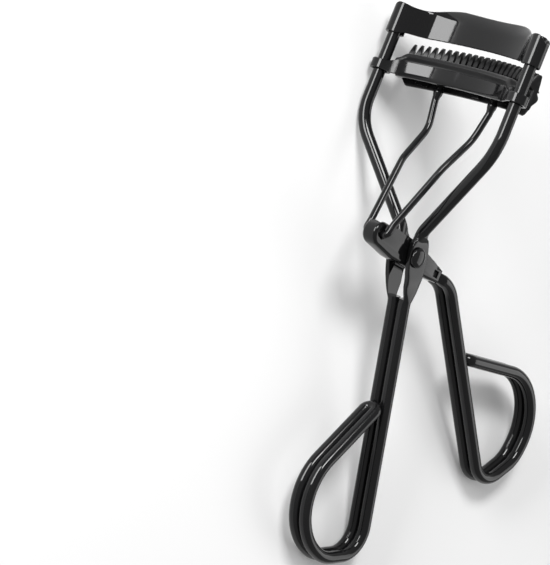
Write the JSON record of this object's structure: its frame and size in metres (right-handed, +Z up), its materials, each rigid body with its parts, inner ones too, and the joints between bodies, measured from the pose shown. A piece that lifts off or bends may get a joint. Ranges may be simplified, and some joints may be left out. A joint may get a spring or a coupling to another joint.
{
  "type": "eyelash curler",
  "caption": "Hand eyelash curler with scissor-style wire handles, a curved fixed clamp, a sliding jaw with a soft pad and a toothed lash comb.",
  "frame": {"origin": "under the middle of the bounding box, on the surface the tool lies on", "axes": "+Z up from the table, the head points to -X, the finger loops to +X, and the comb side of the head to +Y; the tool lies on its side as it would on a table"},
  "size_m": [0.1106, 0.073, 0.0395],
  "materials": {
    "enamel": "gloss black enamel",
    "silicone": "matte",
    "comb_plastic": "satin"
  },
  "bodies": {
    "frame": {"frame_wire": "enamel", "upper_clamp": "enamel", "pivot_rivet": "enamel"},
    "lever": {"lever_bracket": "enamel", "lever_handle": "enamel"},
    "link": {"link_wire": "enamel"},
    "jaw": {"lower_jaw": "enamel", "silicone_pad": "silicone", "lash_comb": "comb_plastic"}
  },
  "joints": [
    {"name": "lever_pivot", "type": "hinge", "parent": "frame", "child": "lever", "pos_m": [-0.0056, -0.02303, 0.0132], "axis": [-0.1543, -0.1085, -0.982], "range_deg": [0, 18]},
    {"name": "link_pivot", "type": "hinge", "parent": "lever", "child": "link", "pos_m": [-0.00643, -0.03395, 0.01453], "axis": [0.1543, 0.1085, 0.982], "range_deg": [0, 19.3]},
    {"name": "jaw_slide", "type": "slide", "parent": "frame", "child": "jaw", "axis": [-0.988, 0.0169, 0.1534], "range_m": [0, 0.0036]}
  ],
  "couplings": [
    {"joint": "link_pivot", "follows": "lever_pivot", "ratio": 1.069},
    {"joint": "jaw_slide", "follows": "lever_pivot", "m_per_rad": 0.011225}
  ]
}
